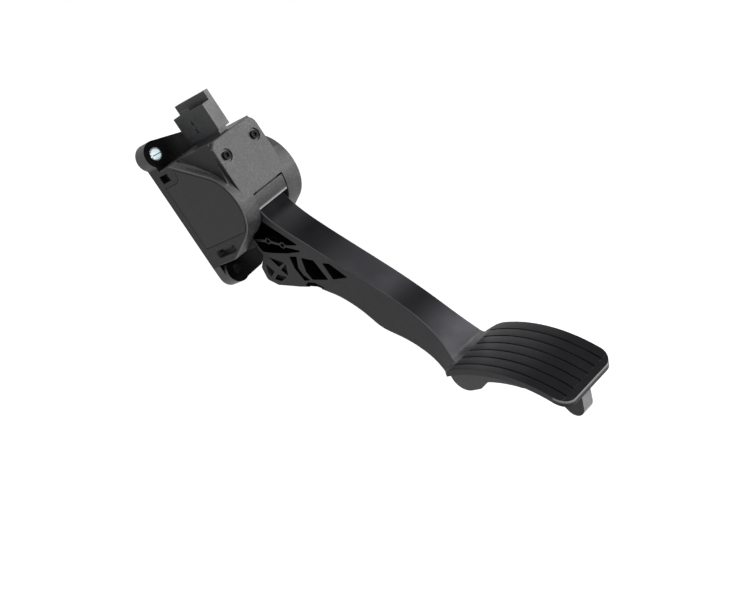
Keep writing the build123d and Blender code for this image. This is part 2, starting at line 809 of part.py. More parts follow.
# Foot pad: a curved plate with raised tread lands, trimmed to its plan outline
with BuildPart() as pad:
    tread_foot = pad_radius - groove_depth
    plate_end = pad_end + pad_overrun
    with BuildSketch(side_plane(-2 * pad_half)):
        add(ring_sector(pad_radius - pad_thickness, tread_foot, pad_start, plate_end))
        add(ring_sector(tread_foot, pad_radius - land_step, pad_start, groove_start))
        add(ring_sector(tread_foot, pad_radius - land_step, groove_end, plate_end))
    extrude(amount=4 * pad_half)
    land_edges = [-2 * pad_half, 2 * pad_half]
    for i in range(groove_count):
        x = (i - (groove_count - 1) / 2) * groove_pitch
        land_edges += [x - groove_width / 2, x + groove_width / 2]
    land_edges.sort()
    for land_left, land_right in zip(land_edges[::2], land_edges[1::2]):
        with BuildSketch(side_plane(land_left)):
            add(ring_sector(tread_foot, pad_radius, groove_start, groove_end))
        extrude(amount=land_right - land_left)
    chord_start = Vector(0, *pad_point(pad_radius, pad_start))
    chord = Vector(0, *pad_point(pad_radius, pad_end)) - chord_start
    pad_length = chord.length
    pad_plan = Plane(origin=chord_start, x_dir=chord, z_dir=chord.cross(Vector(1, 0, 0)))
    with BuildSketch(pad_plan) as pad_sketch:
        with BuildLine():
            Polyline(
                (0, pad_offset_start - pad_half),
                (pad_length, pad_offset_end - pad_half),
                (pad_length, pad_offset_end + pad_half),
                (0, pad_offset_start + pad_half),
                close=True,
            )
        make_face()
        fillet(pad_sketch.vertices().group_by(Axis.X)[-1], pad_corner)
        fillet(pad_sketch.vertices().group_by(Axis.X)[0].sort_by(Axis.Y)[-1], pad_corner_right)
        fillet(pad_sketch.vertices().group_by(Axis.X)[0].sort_by(Axis.Y)[0], pad_corner_left)
    extrude(amount=pad_radius / 2, both=True, mode=Mode.INTERSECT)

# Arm: side outline drawn along the arm, narrowed at the waist and flared at the fold
with BuildPart() as arm:
    with BuildSketch(arm_plane(-arm_half_foot)):
        with BuildLine():
            top_edge = Spline(arm_root, *arm_top)
            TangentArc(top_edge @ 1, arm_fold, tangent=top_edge % 1)
            rear_edge = Spline(*arm_rear)
            Line(arm_fold, rear_edge @ 1)
            heel_edge = FilletPolyline(*heel, heel_neck, radius=heel_round)
            Line(heel_neck, arm_root)
        make_face()
    extrude(amount=2 * arm_half_foot)
    plan = Plane(
        origin=(0, -pivot_standoff, 0),
        x_dir=arm_direction,
        z_dir=(0, cos(radians(arm_lean)), -sin(radians(arm_lean))),
    )
    with BuildSketch(plan.offset(-pad_radius)):
        with BuildLine():
            flank = Spline(
                (arm_root[0], arm_half_root),
                (arm_top[1][0], arm_half_neck),
                (arm_top[2][0], arm_half_waist),
                (arm_top[4][0], arm_half_waist),
                (arm_top[5][0], arm_half_ankle),
                (arm_fold[0], arm_half_foot),
                tangents=((1, 0), (1, 0.5)),
            )
            Polyline((0, 0), (0, arm_half_root), flank @ 0)
            Polyline(flank @ 1, (arm_fold[0], 0))
            mirror(about=Plane.XZ)
        make_face()
    extrude(amount=2 * pad_radius, mode=Mode.INTERSECT)
    fillet(arm.edges().sort_by(SortBy.LENGTH)[-2:], arm_edge_round)
    # Lobe under the fold and the web that carries the pad
    with BuildSketch(side_plane(-pad_web_half)) as pad_web:
        with Locations(lobe_place):
            Circle(lobe_radius)
        with Locations(lobe_toe):
            Circle(lobe_toe_radius)
        make_hull()
        add(ring_sector(pad_radius - pad_web_depth, pad_radius - pad_thickness / 2, pad_start, pad_web_end))
        lobe_front = (lobe_toe[0] - lobe_toe_radius, lobe_toe[1] - lobe_toe_radius)
        fillet(pad_web.vertices().sort_by_distance(lobe_front)[0], lobe_hollow)
    extrude(amount=2 * pad_web_half)
    # Side windows down to a middle web, and the shallow crossed pockets of the heel
    for side in (-1, 1):
        with BuildSketch(arm_plane(side * arm_web_half)):
            for window in windows:
                with BuildSketch(mode=Mode.PRIVATE) as opening:
                    with BuildLine():
                        Polyline(*window, close=True)
                    make_face()
                    fillet(opening.vertices(), window_round)
                add(opening.sketch)
            Circle(hub_radius + window_hub_margin, mode=Mode.SUBTRACT)
            with Locations(*ring_eyes):
                Circle(ring_eye_radius, mode=Mode.SUBTRACT)
                Circle(ring_eye_bore)
        extrude(amount=side * hub_half, mode=Mode.SUBTRACT)
        with BuildSketch(arm_plane(side * (arm_half_root - cross_pocket_depth))):
            for pocket in cross_pockets:
                with BuildLine():
                    Polyline(*pocket, close=True)
                make_face()
        extrude(amount=side * hub_half, mode=Mode.SUBTRACT)
    # Underside: open cells between slanted ribs
    cell = (channel_end - channel_start) / channel_cells
    with BuildSketch(arm_plane(channel_wall - arm_half_waist)):
        for i in range(channel_cells):
            near = channel_start + i * cell
            far = near + cell - channel_rib
            slant = channel_slant if i % 2 else -channel_slant
            with BuildLine():
                Polyline(
                    (near + max(slant, 0), channel_roof),
                    (far + min(slant, 0), channel_roof),
                    (far - max(slant, 0), 2 * lobe_radius),
                    (near - min(slant, 0), 2 * lobe_radius),
                    close=True,
                )
            make_face()
    extrude(amount=2 * (arm_half_waist - channel_wall), mode=Mode.SUBTRACT)

# Pedal lever: foot pad, arm and hub in one moulding
with BuildPart() as pedal_lever:
    add(pad.part)
    add(arm.part)
    # Rib and toe under the pad's end
    with BuildSketch(side_plane(-rib_half)):
        with Locations(rib_toe):
            Circle(rib_toe_radius)
        add(ring_sector(pad_radius - pad_thickness, pad_radius - pad_thickness / 2, rib_start, rib_end))
        make_hull()
    extrude(amount=2 * rib_half)
    # Hub drum with the tab that shows in the opening, hollow from the right
    with BuildSketch(side_plane(-hub_half)):
        with Locations(pivot):
            Circle(hub_radius)
    extrude(amount=2 * hub_half)
    with BuildSketch(side_plane(tab_left)):
        with Locations(pivot):
            Circle(tab_radius)
        with Locations((-pivot_standoff - hub_boss_radius, -slot_top - stop_thickness - fit_gap)):
            Rectangle(
                2 * drum_radius,
                tab_foot - slot_top - stop_thickness - fit_gap,
                align=(Align.MAX, Align.MAX),
                mode=Mode.INTERSECT,
            )
    extrude(amount=tab_right - tab_left)
    with BuildSketch(side_plane(hub_half)):
        with Locations(pivot):
            Circle(hub_radius - bearing_wall)
            Circle(hub_boss_radius + bearing_wall, mode=Mode.SUBTRACT)
    extrude(amount=-2 * hub_half + bearing_wall, mode=Mode.SUBTRACT)
    boss_left = bay_left + end_float + washer_thickness
    boss_right = bay_right - end_float - washer_thickness
    with BuildSketch(side_plane(boss_left)):
        with Locations(pivot):
            Circle(hub_boss_radius)
    extrude(amount=boss_right - boss_left)
    with BuildSketch(side_plane(boss_left)):
        with Locations(pivot):
            Circle(shaft_radius + seat_gap)
    extrude(amount=boss_right - boss_left, mode=Mode.SUBTRACT)
pedal_lever.part.label = "pedal_lever"
export_step(pedal_lever.part, "parts/pedal_lever.step")

# Wiper plate on the hub's left face, with its spring fingers towards the board
with BuildPart() as sensor_wiper:
    wiper_left = -hub_half - wiper_thickness
    with BuildSketch(side_plane(wiper_left)):
        with BuildLine():
            CenterArc(pivot, wiper_outer, 90 - wiper_spread / 2, wiper_spread)
            CenterArc(pivot, wiper_inner, 90 - wiper_spread / 2, wiper_spread)
            for angle in (90 - wiper_spread / 2, 90 + wiper_spread / 2):
                Line(
                    (pivot[0] + wiper_inner * cos(radians(angle)), wiper_inner * sin(radians(angle))),
                    (pivot[0] + wiper_outer * cos(radians(angle)), wiper_outer * sin(radians(angle))),
                )
        make_face()
    extrude(amount=wiper_thickness)
    with BuildSketch(side_plane(wiper_left - finger_thickness)):
        for height in finger_heights:
            with Locations((pivot[0], height)):
                Rectangle(finger_length, finger_width)
    extrude(amount=finger_thickness)
sensor_wiper.part.label = "sensor_wiper"
export_step(sensor_wiper.part, "parts/sensor_wiper.step")

# Arbor on the shaft: its flange takes the moving legs of both springs
with BuildPart() as spring_arbor:
    with BuildSketch(side_plane(arbor_left)):
        with Locations(pivot):
            Circle(arbor_radius)
    extrude(amount=arbor_right - arbor_left)
    with BuildSketch(side_plane(arbor_right - arbor_flange)):
        with Locations(pivot):
            Circle(arbor_flange_radius)
    extrude(amount=arbor_flange)
    with BuildSketch(side_plane(arbor_left)):
        with Locations(pivot):
            Circle(shaft_radius + seat_gap)
        for radius, wire in ((outer_spring_radius, outer_wire), (inner_spring_radius, inner_wire)):
            with Locations((pivot[0], radius)):
                Rectangle(wire + 2 * fit_gap, wire + 2 * fit_gap)
    extrude(amount=arbor_right - arbor_left, mode=Mode.SUBTRACT)
spring_arbor.part.label = "spring_arbor"
export_step(spring_arbor.part, "parts/spring_arbor.step")

# Two return springs, one inside the other, each with a leg in the wall and a leg in the flange
for name, radius, wire in (
    ("return_spring_outer", outer_spring_radius, outer_wire),
    ("return_spring_inner", inner_spring_radius, inner_wire),
):
    with BuildPart() as return_spring:
        with BuildLine() as coil:
            Helix(
                spring_pitch,
                spring_pitch * spring_turns,
                radius,
                center=(spring_left, -pivot_standoff, 0),
                direction=(1, 0, 0),
            )
        with BuildSketch(Plane(origin=coil.line @ 0, x_dir=(0, 0, 1), z_dir=coil.line % 0)):
            Rectangle(wire, wire)
        sweep(is_frenet=True)
        spring_right = spring_left + spring_pitch * spring_turns
        for leg_limits in (
            (right_wall_out - leg_depth, spring_left),
            (spring_right, arbor_right),
        ):
            block(
                leg_limits,
                (pivot[0] - wire / 2, pivot[0] + wire / 2),
                (radius - wire / 2, radius + wire / 2),
            )
    return_spring.part.label = name
    export_step(return_spring.part, f"parts/{name}.step")

# Friction shoe, hollowed to the hub's curve, and the leaf spring that presses it
with BuildPart() as friction_shoe:
    with BuildSketch(side_plane(-shoe_half)):
        with Locations((-shoe_back, 0)):
            Rectangle(
                pivot_standoff - shoe_back, 2 * shoe_half_height, align=(Align.MAX, Align.CENTER)
            )
        with Locations(pivot):
            Circle(hub_radius + shoe_gap, mode=Mode.SUBTRACT)
    extrude(amount=2 * shoe_half)
friction_shoe.part.label = "friction_shoe"
export_step(friction_shoe.part, "parts/friction_shoe.step")

with BuildPart() as shoe_spring:
    with BuildSketch(Plane.XY.offset(-shoe_half_height / 2)):
        with BuildLine():
            outer = ThreePointArc(
                (-shoe_half, -shoe_pocket_floor - leaf_thickness),
                (0, -shoe_back),
                (shoe_half, -shoe_pocket_floor - leaf_thickness),
            )
            inner = ThreePointArc(
                (-shoe_half, -shoe_pocket_floor),
                (0, -shoe_back + leaf_thickness),
                (shoe_half, -shoe_pocket_floor),
            )
            Line(outer @ 0, inner @ 0)
            Line(outer @ 1, inner @ 1)
        make_face()
    extrude(amount=shoe_half_height)
shoe_spring.part.label = "shoe_spring"
export_step(shoe_spring.part, "parts/shoe_spring.step")

# Rubber strip at the upper edge of the opening, where the tab rests at idle
with BuildPart() as idle_stop:
    block(
        (-stop_half, stop_half),
        (fit_gap - pivot_standoff - tab_radius, -pivot_standoff - bay_radius - fit_gap),
        (-slot_top - stop_thickness, -slot_top),
    )
idle_stop.part.label = "idle_stop"
export_step(idle_stop.part, "parts/idle_stop.step")

# Rubber block on the rear wall of the opening, met by the heel at full travel
with BuildPart() as travel_stop:
    block(
        (-travel_stop_half, travel_stop_half),
        (-slot_rear - travel_stop_depth, -slot_rear),
        (-travel_stop_mid - travel_stop_height / 2, -travel_stop_mid + travel_stop_height / 2),
    )
travel_stop.part.label = "travel_stop"
export_step(travel_stop.part, "parts/travel_stop.step")
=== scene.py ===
# %% [markdown]
# # A hanging accelerator pedal, dressed in Blender
# The pedal's solids come from its CAD model and stay where they are. This lesson adds what a camera
# sees on them: softened moulding edges, the grain of black glass-filled plastic, zinc-plated
# sleeves and a plain studio. Every piece is in metres, in the CAD model's own frame.

# %% Load the frame
import json
from math import atan2, cos, degrees, hypot, radians, sin

import bpy
from mathutils import Matrix, Vector

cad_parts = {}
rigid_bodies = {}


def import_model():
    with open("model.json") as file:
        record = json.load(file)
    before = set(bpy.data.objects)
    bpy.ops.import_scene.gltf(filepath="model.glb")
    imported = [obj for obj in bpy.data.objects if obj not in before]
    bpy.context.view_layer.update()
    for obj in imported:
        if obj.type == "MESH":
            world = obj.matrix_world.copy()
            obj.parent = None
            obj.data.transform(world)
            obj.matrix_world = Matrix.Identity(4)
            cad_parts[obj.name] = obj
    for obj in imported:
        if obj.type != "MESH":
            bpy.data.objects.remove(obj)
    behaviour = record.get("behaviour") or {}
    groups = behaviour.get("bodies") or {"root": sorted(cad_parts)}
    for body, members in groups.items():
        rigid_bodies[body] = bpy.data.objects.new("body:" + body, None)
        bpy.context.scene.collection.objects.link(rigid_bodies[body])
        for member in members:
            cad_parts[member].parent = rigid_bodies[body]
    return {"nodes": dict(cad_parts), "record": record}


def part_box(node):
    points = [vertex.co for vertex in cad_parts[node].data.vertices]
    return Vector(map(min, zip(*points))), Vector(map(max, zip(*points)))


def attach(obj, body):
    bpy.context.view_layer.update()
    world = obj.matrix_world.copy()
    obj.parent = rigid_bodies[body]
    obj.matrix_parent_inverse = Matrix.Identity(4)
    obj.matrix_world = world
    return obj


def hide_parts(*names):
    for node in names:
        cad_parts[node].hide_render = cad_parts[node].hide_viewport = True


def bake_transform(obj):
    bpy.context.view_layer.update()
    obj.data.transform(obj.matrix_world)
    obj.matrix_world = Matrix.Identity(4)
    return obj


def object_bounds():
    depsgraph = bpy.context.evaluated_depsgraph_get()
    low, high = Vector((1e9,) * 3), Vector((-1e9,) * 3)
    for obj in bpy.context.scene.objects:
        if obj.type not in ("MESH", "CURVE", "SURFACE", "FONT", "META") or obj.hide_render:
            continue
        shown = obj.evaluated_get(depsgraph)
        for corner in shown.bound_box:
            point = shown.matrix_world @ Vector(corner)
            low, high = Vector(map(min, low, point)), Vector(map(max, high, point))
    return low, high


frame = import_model()
cad_box = [list(corner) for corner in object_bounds()]
nodes = frame["nodes"]
bodies = frame["record"]["behaviour"]["bodies"]
print("bodies:", {name: len(members) for name, members in bodies.items()})

# %% [markdown]
# ## Camera
# The photograph was taken from the driver's left, in front and slightly above, with the camera
# rolled so that the pedal lies along the picture's diagonal. The lens is given as a focal length
# for a sensor that is as wide as the picture, so the sensor fit is horizontal.

# %% Camera
PICTURE_WIDTH = 754
FOCAL_PIXELS = 1861
SENSOR_WIDTH = 36.0
CAMERA_PLACE = Vector((-0.72657, -1.02556, 0.13422))
CAMERA_RIGHT = Vector((0.59163761, -0.59890266, -0.53955729))
CAMERA_UP = Vector((0.53293112, -0.21145261, 0.81936943))

bpy.ops.object.camera_add()
camera = bpy.context.object
camera.name = "photo_camera"
camera.data.sensor_fit = "HORIZONTAL"
camera.data.sensor_width = SENSOR_WIDTH
camera.data.lens = SENSOR_WIDTH * FOCAL_PIXELS / PICTURE_WIDTH
axes = Matrix((CAMERA_RIGHT, CAMERA_UP, CAMERA_RIGHT.cross(CAMERA_UP))).transposed()
camera.matrix_world = Matrix.Translation(CAMERA_PLACE) @ axes.to_4x4()
bpy.context.scene.camera = camera
print("lens", round(camera.data.lens, 2), "mm")

# %% [markdown]
# ## Studio surround
# A product photograph of a black part is taken in a white tent. The world is that tent. The camera,
# mirrors and glass see it as plain white, and it gives the matt surfaces a softer level of light, so
# that the lamps can shape them. Light Path tells the two kinds of ray apart.

# %% Studio surround
SURROUND_LEVEL = 0.30


def seen_rays(tree):
    """1 for rays from the camera, a reflection or glass, and 0 for plain light."""
    rays = tree.nodes.new("ShaderNodeLightPath")
    either = tree.nodes.new("ShaderNodeMath")
    either.operation = "MAXIMUM"
    tree.links.new(rays.outputs["Is Camera Ray"], either.inputs[0])
    tree.links.new(rays.outputs["Is Glossy Ray"], either.inputs[1])
    seen = tree.nodes.new("ShaderNodeMath")
    seen.operation = "MAXIMUM"
    tree.links.new(either.outputs[0], seen.inputs[0])
    tree.links.new(rays.outputs["Is Transmission Ray"], seen.inputs[1])
    return seen.outputs[0]


scene = bpy.context.scene
scene.view_settings.view_transform = "Standard"
world = bpy.data.worlds.new("studio_surround")
scene.world = world
world.use_nodes = True
tree = world.node_tree
tree.nodes.clear()
surround = tree.nodes.new("ShaderNodeBackground")
surround.inputs["Color"].default_value = (1, 1, 1, 1)
level = tree.nodes.new("ShaderNodeMapRange")
level.inputs["To Min"].default_value = SURROUND_LEVEL
level.inputs["To Max"].default_value = 1.0
tree.links.new(seen_rays(tree), level.inputs["Value"])
tree.links.new(level.outputs["Result"], surround.inputs["Strength"])
output = tree.nodes.new("ShaderNodeOutputWorld")
tree.links.new(surround.outputs["Background"], output.inputs["Surface"])
print("surround gives", SURROUND_LEVEL)

# %% [markdown]
# ## Lamps
# Three broad lamps. The faces that look forwards are the brightest in the photograph, and the flat
# sides are dark, so the largest lamp stands in front on the right, where the front plate mirrors it
# to the camera. A second one stands beside the camera and a weak one hangs overhead.

# %% Lamps
AIM = Vector((0.0, -0.12, -0.06))


def softbox(name, place, width, height, watts):
    bpy.ops.object.select_all(action="DESELECT")
    bpy.ops.object.light_add(type="AREA", location=place)
    lamp = bpy.context.object
    lamp.name = name
    lamp.data.shape = "RECTANGLE"
    lamp.data.size = width
    lamp.data.size_y = height
    lamp.data.energy = watts
    lamp.rotation_euler = (AIM - Vector(place)).to_track_quat("-Z", "Y").to_euler()
    print(name, watts, "W")


softbox("front_softbox", (0.80, -1.13, 0.02), 0.75, 0.42, 20.0)
softbox("camera_softbox", (-0.85, -1.2, 0.35), 0.6, 0.5, 12.0)
softbox("overhead_softbox", (0.1, -0.2, 1.3), 1.2, 1.2, 3.0)

# %% [markdown]
# ## Floor
# A pale sheet under the pedal, low enough for the pad to swing to full travel above it. A little of
# its white is given only to the camera and to mirrors, so that it melts into the surround and still
# takes the soft shadow. The lamps light it less with the distance, so that share of white grows
# outwards.

# %% Floor
FLOOR_SIZE = 12
PAPER_WHITE = 0.86
SWING_ROOM = 0.037  # the pad swings 35 mm lower at full travel
NEAR, FAR = 0.4, 2.4
NEAR_LIFT, FAR_LIFT = 0.56, 0.86

bpy.ops.object.select_all(action="DESELECT")
bpy.ops.mesh.primitive_plane_add(size=FLOOR_SIZE, location=(0, 0, cad_box[0][2] - SWING_ROOM))
floor = bpy.context.object
floor.name = "studio_floor"
paper = bpy.data.materials.new("floor_paper")
paper.use_nodes = True
tree = paper.node_tree
tree.nodes.clear()
matt = tree.nodes.new("ShaderNodeBsdfDiffuse")
matt.inputs["Color"].default_value = (PAPER_WHITE, PAPER_WHITE, PAPER_WHITE, 1)
place = tree.nodes.new("ShaderNodeTexCoord")
reach = tree.nodes.new("ShaderNodeVectorMath")
reach.operation = "LENGTH"
tree.links.new(place.outputs["Object"], reach.inputs[0])
outwards = tree.nodes.new("ShaderNodeMapRange")
outwards.inputs["From Min"].default_value = NEAR
outwards.inputs["From Max"].default_value = FAR
outwards.inputs["To Min"].default_value = NEAR_LIFT
outwards.inputs["To Max"].default_value = FAR_LIFT
tree.links.new(reach.outputs["Value"], outwards.inputs["Value"])
lift = tree.nodes.new("ShaderNodeMath")
lift.operation = "MULTIPLY"
tree.links.new(seen_rays(tree), lift.inputs[0])
tree.links.new(outwards.outputs["Result"], lift.inputs[1])
glow = tree.nodes.new("ShaderNodeEmission")
tree.links.new(lift.outputs[0], glow.inputs["Strength"])
both = tree.nodes.new("ShaderNodeAddShader")
tree.links.new(matt.outputs["BSDF"], both.inputs[0])
tree.links.new(glow.outputs["Emission"], both.inputs[1])
output = tree.nodes.new("ShaderNodeOutputMaterial")
tree.links.new(both.outputs["Shader"], output.inputs["Surface"])
floor.data.materials.append(paper)
print("floor at", round(floor.location.z, 4))

# %% [markdown]
# ## Skin of a moulding
# Glass-filled plastic is never one flat black. The tool gives it a fine grain, the glass shows as
# pale specks, and the melt leaves broad clouds that are a little duller or brighter. One node group
# makes these three as plain values, and each material decides what they do. Object coordinates
# keep the sizes true in metres.

# %% Skin of a moulding
CLOUD_SCALE = 55.0
SPECK_SCALE = 1100.0
GRAIN_SCALE = 2600.0


def new_group(name, inputs, outputs):
    group = bpy.data.node_groups.new(name, "ShaderNodeTree")
    for socket, value in inputs.items():
        item = group.interface.new_socket(socket, in_out="INPUT", socket_type="NodeSocketFloat")
        item.default_value = value
    for socket in outputs:
        group.interface.new_socket(socket, in_out="OUTPUT", socket_type="NodeSocketFloat")
    return group, group.nodes.new("NodeGroupInput"), group.nodes.new("NodeGroupOutput")


def span(tree, value, start, end):
    """Share that is 0 at start and 1 at end."""
    share = tree.nodes.new("ShaderNodeMapRange")
    share.inputs["From Min"].default_value = start
    share.inputs["From Max"].default_value = end
    tree.links.new(value, share.inputs["Value"])
    return share.outputs["Result"]


def noise(tree, scale, detail, low, high):
    """Noise on object coordinates, stretched so that low becomes 0 and high becomes 1."""
    place = tree.nodes.new("ShaderNodeTexCoord")
    pattern = tree.nodes.new("ShaderNodeTexNoise")
    pattern.inputs["Detail"].default_value = detail
    tree.links.new(place.outputs["Object"], pattern.inputs["Vector"])
    tree.links.new(scale, pattern.inputs["Scale"])
    return span(tree, pattern.outputs["Fac"], low, high)


skin, skin_in, skin_out = new_group(
    "moulded_skin",
    {"Cloud Scale": CLOUD_SCALE, "Speck Scale": SPECK_SCALE, "Grain Scale": GRAIN_SCALE},
    ("Cloud", "Speck", "Grain"),
)
for layer, detail, low, high in (
    ("Cloud", 4.0, 0.36, 0.64),
    ("Speck", 2.0, 0.52, 0.74),
    ("Grain", 3.0, 0.25, 0.75),
):
    value = noise(skin, skin_in.outputs[layer + " Scale"], detail, low, high)
    skin.links.new(value, skin_out.inputs[layer])
print("moulded_skin gives", [item.name for item in skin_out.inputs if item.name])

# %% [markdown]
# ## Moulded plastic
# One function makes every plain plastic of the pedal from the shared skin: the clouds turn the
# colour from dark to pale and the roughness from smooth to rough, the specks lay the glass over it,
# and the grain goes to a Bump node. The shader stays in the material itself.

# %% Moulded plastic
GRAIN_DEPTH = 0.0002


def grey(level, cool=0.0):
    """A grey, with a little more blue where it is cool."""
    return (level, level, level + cool)


def mix_colour(tree, share, first, second):
    mix = tree.nodes.new("ShaderNodeMix")
    mix.data_type = "RGBA"
    tree.links.new(share, mix.inputs["Factor"])
    for socket, colour in ((mix.inputs[6], first), (mix.inputs[7], second)):
        if isinstance(colour, tuple):
            socket.default_value = (*colour, 1)
        else:
            tree.links.new(colour, socket)
    return mix.outputs[2]


def between(tree, value, low, high):
    spread = tree.nodes.new("ShaderNodeMapRange")
    spread.inputs["To Min"].default_value = low
    spread.inputs["To Max"].default_value = high
    tree.links.new(value, spread.inputs["Value"])
    return spread.outputs["Result"]


def new_material(name, group):
    """A material, its tree and its shader, with a node of the given group."""
    material = bpy.data.materials.new(name)
    material.use_nodes = True
    tree = material.node_tree
    surface = tree.nodes.new("ShaderNodeGroup")
    surface.node_tree = group
    return material, tree, tree.nodes["Principled BSDF"], surface


def add_relief(tree, shader, height, strength, depth):
    relief = tree.nodes.new("ShaderNodeBump")
    relief.inputs["Strength"].default_value = strength
    relief.inputs["Distance"].default_value = depth
    tree.links.new(height, relief.inputs["Height"])
    tree.links.new(relief.outputs["Normal"], shader.inputs["Normal"])


def moulded(
    name, dark, pale, smooth, rough, speck=0.15, glass=grey(0.10, 0.005), bump=0.25, shine=0.35,
    clouds=CLOUD_SCALE, flecks=SPECK_SCALE,
):
    material, tree, shader, surface = new_material(name, skin)
    surface.inputs["Cloud Scale"].default_value = clouds
    surface.inputs["Speck Scale"].default_value = flecks
    shade = mix_colour(tree, surface.outputs["Cloud"], dark, pale)
    glassy = between(tree, surface.outputs["Speck"], 0.0, speck)
    tree.links.new(mix_colour(tree, glassy, shade, glass), shader.inputs["Base Color"])
    roughness = between(tree, surface.outputs["Cloud"], smooth, rough)
    tree.links.new(roughness, shader.inputs["Roughness"])
    add_relief(tree, shader, surface.outputs["Grain"], bump, GRAIN_DEPTH)
    shader.inputs["Specular IOR Level"].default_value = shine
    print(name, "plastic")
    return material


# %% [markdown]
# ## Softened mouldings
# The CAD solids have knife-sharp edges, and no moulding has. A copy of a solid is merged into one
# skin, its flat facets are joined, and a narrow bevel runs along every sharp edge. Drawing the
# roundings in the CAD model would cost far more faces. The bevel's own faces get the second
# material slot, so that edges can be a little paler and more polished than the flats beside them:
# real wear, and a painted highlight along each edge. Weighted normals keep the large flats flat
# next to their rounded rims.

# %% A softened copy of a solid
MERGE_GAP = 2e-6
FLAT_ANGLE = radians(0.6)
SHARP_ANGLE = radians(38)
SMOOTH_ANGLE = radians(36)


def softened_copy(node, name, body, width, segments=2):
    bpy.ops.object.select_all(action="DESELECT")
    nodes[node].select_set(True)
    bpy.context.view_layer.objects.active = nodes[node]
    bpy.ops.object.duplicate()
    piece = bpy.context.object
    for key in list(piece.keys()):
        del piece[key]
    bpy.ops.object.parent_clear(type="CLEAR_KEEP_TRANSFORM")
    piece.name = name
    piece.data.name = name
    piece.data.materials.clear()
    for part_of_piece in ("flats", "edges"):
        piece.data.materials.append(None)
    bpy.ops.object.mode_set(mode="EDIT")
    bpy.ops.mesh.select_all(action="SELECT")
    bpy.ops.mesh.customdata_custom_splitnormals_clear()
    bpy.ops.mesh.remove_doubles(threshold=MERGE_GAP)
    bpy.ops.mesh.dissolve_limited(angle_limit=FLAT_ANGLE)
    bpy.ops.object.mode_set(mode="OBJECT")
    bpy.ops.object.modifier_add(type="BEVEL")
    rim = piece.modifiers[-1]
    rim.width = width
    rim.segments = segments
    rim.limit_method = "ANGLE"
    rim.angle_limit = SHARP_ANGLE
    rim.material = 1
    rim.use_clamp_overlap = True
    bpy.ops.object.modifier_apply(modifier=rim.name)
    bpy.ops.object.shade_smooth_by_angle(angle=SMOOTH_ANGLE)
    bpy.ops.object.modifier_add(type="WEIGHTED_NORMAL")
    piece.modifiers[-1].keep_sharp = True
    bpy.ops.object.modifier_apply(modifier=piece.modifiers[-1].name)
    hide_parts(node)
    if body:
        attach(piece, body)
    print(name, len(piece.data.polygons), "faces")
    return piece


# %% [markdown]
# ## Housing
# One black moulding with a coarse skin and pale glass specks. Not all of it looks the same: the base
# front gets painted shade, the flat sides a painted shade of a darker, duller grey, and the rims that
# stand out a painted highlight. A mask painted on the model would need its own map. Choosing whole
# faces by their place and the way they look is exact, because each of these areas ends at an edge.

# %% Housing
def finish(piece, flats, edges):
    piece.data.materials[0] = flats
    piece.data.materials[1] = edges


def paint_faces(piece, look, wanted, slots=(0,)):
    """Gives a look of its own to the faces in those slots that wanted() picks by place and normal."""
    piece.data.materials.append(look)
    new_slot = len(piece.data.materials) - 1
    picked = [
        face for face in piece.data.polygons
        if face.material_index in slots and wanted(face.center, face.normal)
    ]
    for face in picked:
        face.material_index = new_slot
    print(piece.name, look.name, len(picked), "faces")


housing = softened_copy("housing", "housing_moulding", "housing_unit", 0.0004)
# The edge look is paler than the flats: real wear, and a painted highlight.
finish(
    housing,
    moulded(
        "housing_black", grey(0.004, 0.001), grey(0.022, 0.001), 0.40, 0.52, speck=0.42,
        glass=grey(0.14, 0.005), bump=0.6, shine=0.42, clouds=90.0, flecks=1500.0,
    ),
    moulded("housing_edge", grey(0.016, 0.001), grey(0.026, 0.001), 0.34, 0.42, shine=0.6),
)

# %% [markdown]
# ## Screw seats, base, rims and sides of the housing
# The walls of the two screw seats get painted shade and show as thin black rings. The base's front
# gets painted shade, nearly black, and its outer wall does not, and the lower lug's bore gets the same
# painted shade as the front.

# %% Screw seats, base, rims and sides of the housing
SCREW_HEAD_RADIUS = 0.00285
SCREW_HEIGHT = 0.0281
SCREW_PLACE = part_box("carrier_screws")[1][0] - SCREW_HEAD_RADIUS
SEAT_FRONT = -0.030
LUG_BORE_X, LUG_BORE_Z, LUG_BORE_REACH = -0.0182, -0.0425, 0.0042
BASE_WALL_FRONT = -0.0112
BASE_FRONT = -0.012
CHEEK_OUT = 0.0262


def in_screw_seat(place, normal):
    reach = hypot(abs(place.x) - SCREW_PLACE, place.z - SCREW_HEIGHT)
    return 0.0040 < reach < 0.0050 and abs(normal.y) < 0.9 and place.y < SEAT_FRONT


def on_base_side(place, normal):
    bored = hypot(place.x - LUG_BORE_X, place.z - LUG_BORE_Z) < LUG_BORE_REACH
    return place.y > BASE_WALL_FRONT and normal.y > -0.85 and not bored


def on_base(place, normal):
    return place.y > BASE_FRONT


def on_rim(place, normal):
    return 0.2 < abs(normal.x) < 0.92 and abs(place.x) > CHEEK_OUT and place.y < BASE_FRONT


def on_flank(place, normal):
    return abs(normal.x) > 0.85


# Painted shade: the walls of the screw seats are near black.
paint_faces(
    housing,
    moulded("seat_painted_shade", grey(0.0008), grey(0.002), 0.6, 0.7, speck=0.0, shine=0.01),
    in_screw_seat,
    slots=(0, 1),
)
base_side = moulded(
    "base_side", grey(0.012, 0.001), grey(0.026, 0.001), 0.38, 0.48, speck=0.2, shine=0.42
)
# Painted shade: the base's front and the lug's bore are near black.
base_painted_shade = moulded("base_painted_shade", grey(0.0015), grey(0.004), 0.45, 0.55, speck=0.04, shine=0.02)
# Painted highlight: the rims that stand out are a paler, glossier grey.
rim_painted_highlight = moulded(
    "rim_painted_highlight", grey(0.022, 0.001), grey(0.045, 0.002), 0.30, 0.40, speck=0.2, shine=0.55
)
